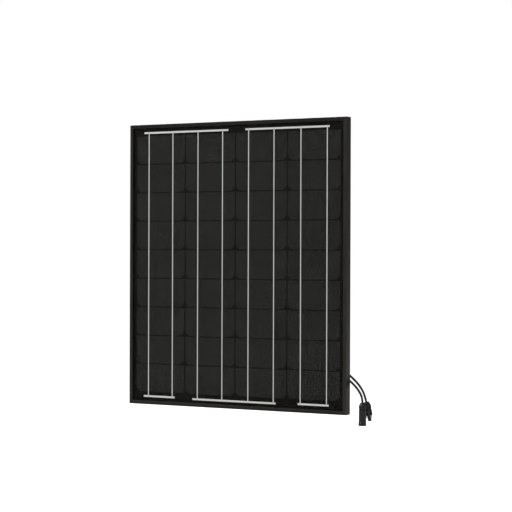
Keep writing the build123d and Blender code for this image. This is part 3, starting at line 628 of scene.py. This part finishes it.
def make_bead(name, outline, section, waver, seed):
    """A closed bead of silicone laid by hand.

    A section of (outward, y, fixed) points is carried round an outline. The points that aren't
    fixed waver in and out, measured from the section's first point.
    """
    lumps_a_metre = 40
    foot_y = section[0][1]
    bm = bmesh.new()
    rings = []
    for point, outward in outline:
        lump = noise.noise(Vector((point.x * lumps_a_metre, seed, point.y * lumps_a_metre)))
        size = 1 + waver * lump
        ring = []
        for out, y, fixed in section:
            place = point + outward * out * (1 if fixed else size)
            depth = y if fixed else foot_y + (y - foot_y) * size
            ring.append(bm.verts.new((place.x, depth, place.y)))
        rings.append(ring)
    bridge(bm, rings)
    as_piece(name, bm, SILICONE, "panel", smooth=True)


def quarter_round(foot_y, reach, height, bury):
    """A fillet's section in the corner between a sheet and an upright wall that lies outward."""
    steps = 6
    # How a round and a straight line share the bead's face, along the sheet and up the wall.
    more, less = 0.55, 0.45
    buried_y, toe = foot_y - bury * 0.3, -reach * 0.98
    section = [(bury, buried_y, True), (bury, foot_y + height, True)]
    for step in range(steps + 1):
        angle = math.radians(90 * step / steps)
        out = -reach * (1 - math.cos(angle)) * more - reach * less * step / steps
        y = foot_y + height * (1 - math.sin(angle)) * less + height * more * (1 - step / steps)
        section.append((out, y, False))
    section.append((toe, buried_y, True))
    return section


def make_rear_bead():
    """Silicone laid in the corner between the rear sheet and the frame's inner wall."""
    low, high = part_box("frame_side_left")
    sheet_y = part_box("backsheet")[1].y
    half_x, half_z = -low.x - FRAME_WEB, high.z - FRAME_WEB
    outline = rounded_outline(half_x, half_z, 1.5 * MM, (0, 0), step_along=12 * MM)
    section = quarter_round(sheet_y, reach=2.6 * MM, height=2.9 * MM, bury=0.25 * MM)
    make_bead("rear_bead", outline, section, waver=0.16, seed=3.0)


def make_box_bead():
    """Silicone squeezed out round the junction box's foot."""
    low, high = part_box("junction_box_adhesive")
    sheet_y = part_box("backsheet")[1].y
    middle = ((low.x + high.x) / 2, (low.z + high.z) / 2)
    outline = rounded_outline(*BOX_FOOT, 6 * MM, middle, step_along=4 * MM)
    profile = (
        (-3.0, -0.1, True),
        (-3.0, 0.9, True),
        (0.1, 1.5, True),
        (0.9, 1.35, False),
        (1.7, 0.9, False),
        (2.2, 0.3, False),
        (2.3, -0.1, False),
    )
    section = [(out * MM, sheet_y + proud * MM, fixed) for out, proud, fixed in profile]
    make_bead("box_bead", outline, section, waver=0.3, seed=7.0)


make_rear_bead()
make_box_bead()


# ---- inside the junction box -----------------------------------------------------------------
TERMINAL_PITCH = 24 * MM
FOIL_TAIL_Z = -230.5 * MM
DIODES = ("bypass_diode_1", "bypass_diode_2")
DIODE_RADIUS = 2.7 * MM


def make_terminal_solder():
    """Solder over the foils' tails and round the diodes' wires."""
    tail_half, wire_half = (3.4 * MM, 0.5 * MM, 3.2 * MM), (1.7 * MM, 1.2 * MM, 1.7 * MM)
    tail_proud, wire_in = 0.2 * MM, 0.6 * MM
    bm = bmesh.new()
    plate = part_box("terminal_middle")[1].y
    for terminal in (-1, 0, 1):
        tail = (terminal * TERMINAL_PITCH, plate + tail_proud, FOIL_TAIL_Z)
        mound(bm, tail, tail_half, swell=0.6)
    for name in DIODES:
        low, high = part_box(name)
        for x in (low.x + wire_in, high.x - wire_in):
            mound(bm, (x, plate, (low.z + high.z) / 2), wire_half, swell=1.0)
    as_piece("terminal_solder", bm, SOLDER, "panel", smooth=True)


def make_diode_bands():
    """The pale ring that marks one end of each bypass diode."""
    around, from_middle = 40, 2.2 * MM
    width, slope, proud, buried = 1.2 * MM, 0.05 * MM, 0.04 * MM, 0.1 * MM
    profile = ((0.0, -buried), (slope, proud), (width - slope, proud), (width, -buried))
    bm = bmesh.new()
    for name in DIODES:
        low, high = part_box(name)
        axis_y, axis_z = high.y - DIODE_RADIUS, (low.z + high.z) / 2
        start = (low.x + high.x) / 2 + from_middle
        rings = []
        for along, out in profile:
            ring = []
            for step in range(around):
                angle = 2 * math.pi * step / around
                y = axis_y + (DIODE_RADIUS + out) * math.cos(angle)
                z = axis_z + (DIODE_RADIUS + out) * math.sin(angle)
                ring.append(bm.verts.new((start + along, y, z)))
            rings.append(ring)
        bridge(bm, rings)
    as_piece("diode_bands", bm, BAND_PAINT, "panel", smooth=True)


make_terminal_solder()
make_diode_bands()


# ---- marks on the junction box ---------------------------------------------------------------
POSITIVE_GLAND_Z = -229 * MM
NEGATIVE_GLAND_Z = -251 * MM
LID_BACK_Y = -1.3 * MM


def make_polarity_marks():
    """A raised plus and minus on the lid, each beside its own gland."""
    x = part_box("junction_box_lid")[1].x - 8 * MM
    arm, half_width, rounding = 2.6 * MM, 0.5 * MM, 0.12 * MM
    buried_y, proud_y = LID_BACK_Y - 0.2 * MM, LID_BACK_Y + 0.35 * MM
    across, upright = (arm, half_width), (half_width, arm)
    bm = bmesh.new()
    for z, bars in ((POSITIVE_GLAND_Z, (across, upright)), (NEGATIVE_GLAND_Z, (across,))):
        for half_x, half_z in bars:
            low = (x - half_x, buried_y, z - half_z)
            high = (x + half_x, proud_y, z + half_z)
            bevelled_box(bm, low, high, rounding)
    as_piece("polarity_marks", bm, BOX_PLASTIC, "lid")


make_polarity_marks()


# ---- leads -----------------------------------------------------------------------------------
LEAD_DIAMETER = 0.0058
POSITIVE_ROUTE = [
    (0.0420, -0.0110, -0.2290),
    (0.1040, -0.0110, -0.2290),
    (0.1700, -0.0070, -0.2310),
    (0.2280, 0.0010, -0.2380),
    (0.2720, 0.0070, -0.2520),
    (0.3030, 0.0095, -0.2690),
    (0.3310, 0.0100, -0.2892),
    (0.3540, 0.0135, -0.3110),
    (0.3676, 0.0229, -0.3385),
    (0.3730, 0.0258, -0.3703),
]
NEGATIVE_ROUTE = [
    (0.0420, -0.0110, -0.2510),
    (0.1040, -0.0110, -0.2510),
    (0.1700, -0.0070, -0.2520),
    (0.2280, 0.0000, -0.2575),
    (0.2720, 0.0060, -0.2700),
    (0.3040, 0.0090, -0.2855),
    (0.3320, 0.0090, -0.3030),
    (0.3549, 0.0070, -0.3237),
    (0.37015, 0.0032, -0.3466),
    (0.37005, 0.0025, -0.3711),
]


def make_lead(name, node, route):
    """A stiff round lead on one smooth line, from inside the box to inside its connector."""
    curve = bpy.data.curves.new(name, "CURVE")
    curve.dimensions = "3D"
    spline = curve.splines.new("NURBS")
    spline.points.add(len(route) - 1)
    for point, place in zip(spline.points, route):
        point.co = (*place, 1.0)
    spline.order_u = 3
    spline.use_endpoint_u = True
    spline.resolution_u = 16
    curve.bevel_depth = LEAD_DIAMETER / 2
    curve.bevel_resolution = 8
    curve.use_fill_caps = True
    curve.materials.append(SHEATH)
    lead = bpy.data.objects.new(name, curve)
    bpy.context.scene.collection.objects.link(lead)
    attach(lead, "panel")
    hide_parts(node)


make_lead(
    "positive_lead",
    "lead_positive",
    POSITIVE_ROUTE,
)
make_lead(
    "negative_lead",
    "lead_negative",
    NEGATIVE_ROUTE,
)


# ---- floor, light and backdrop ---------------------------------------------------------------
FLOOR_DROP = 0.32
FLOOR_HALF = 14.0
FLOOR_SHADE = 0.5
FLOOR_GLOW_SEEN = 0.84
FLOOR_GLOW_LIT = 0.33
ROOM_GLOW = 0.38
WALL_GLOW = 0.2
DARK_WALL_SIDE = (0.64, 0.77, 0.0)

# How far a direction must turn towards the dark wall before it darkens, and until it's darkest,
# as the cosine of the angle between them.
WALL_FROM, WALL_UNTIL = 0.3, 0.95


def make_floor():
    """A plain pale floor, which glows a little so that it fades into the backdrop."""
    lowest = CAD_BOX[0][2] - FLOOR_DROP
    mesh = bpy.data.meshes.new("floor")
    signs = ((-1, -1), (1, -1), (1, 1), (-1, 1))
    corners = [(sx * FLOOR_HALF, sy * FLOOR_HALF, lowest) for sx, sy in signs]
    mesh.from_pydata(corners, [], [(0, 1, 2, 3)])
    g = Graph("floor")
    seen = g.add("ShaderNodeLightPath").outputs["Is Camera Ray"]
    glow = g.span(seen, FLOOR_GLOW_LIT, FLOOR_GLOW_SEEN, 0.0, 1.0)
    g.surface(
        Base_Color=(FLOOR_SHADE, FLOOR_SHADE, FLOOR_SHADE),
        Roughness=0.8,
        Emission_Color=(1.0, 1.0, 1.0),
        Emission_Strength=glow,
    )
    mesh.materials.append(g.material)
    floor = bpy.data.objects.new("floor", mesh)
    bpy.context.scene.collection.objects.link(floor)


def make_world():
    """A white backdrop to the camera; to the object, a grey room with one darker wall."""
    world = bpy.data.worlds.new("studio")
    world.use_nodes = True
    tree = world.node_tree
    tree.nodes.clear()
    seen = tree.nodes.new("ShaderNodeBackground")
    seen.inputs["Color"].default_value = (1, 1, 1, 1)
    place = tree.nodes.new("ShaderNodeTexCoord")
    towards = tree.nodes.new("ShaderNodeVectorMath")
    towards.operation = "DOT_PRODUCT"
    towards.inputs[1].default_value = DARK_WALL_SIDE
    wall = tree.nodes.new("ShaderNodeMapRange")
    wall.interpolation_type = "SMOOTHSTEP"
    wall.inputs["From Min"].default_value = WALL_FROM
    wall.inputs["From Max"].default_value = WALL_UNTIL
    wall.inputs["To Min"].default_value = ROOM_GLOW
    wall.inputs["To Max"].default_value = WALL_GLOW
    tree.links.new(place.outputs["Generated"], towards.inputs[0])
    tree.links.new(towards.outputs["Value"], wall.inputs["Value"])
    lit = tree.nodes.new("ShaderNodeBackground")
    lit.inputs["Color"].default_value = (1, 1, 1, 1)
    tree.links.new(wall.outputs[0], lit.inputs["Strength"])
    path = tree.nodes.new("ShaderNodeLightPath")
    mix = tree.nodes.new("ShaderNodeMixShader")
    output = tree.nodes.new("ShaderNodeOutputWorld")
    tree.links.new(path.outputs["Is Camera Ray"], mix.inputs[0])
    tree.links.new(lit.outputs[0], mix.inputs[1])
    tree.links.new(seen.outputs[0], mix.inputs[2])
    tree.links.new(mix.outputs[0], output.inputs["Surface"])
    bpy.context.scene.world = world


def make_softbox(name, place, aim, side, power):
    """A square soft light, aimed at a point."""
    data = bpy.data.lights.new(name, "AREA")
    data.shape = "SQUARE"
    data.size = side
    data.energy = power
    light = bpy.data.objects.new(name, data)
    light.location = place
    light.rotation_euler = (Vector(aim) - Vector(place)).to_track_quat("-Z", "Y").to_euler()
    bpy.context.scene.collection.objects.link(light)


make_floor()
make_world()
make_softbox("key", place=(-2.2, -2.6, 2.6), aim=(0, 0, 0), side=1.8, power=72)
make_softbox("rear", place=(-1.6, 2.6, 2.0), aim=(0, 0, -0.1), side=1.4, power=120)
bpy.context.scene.view_settings.view_transform = "Standard"
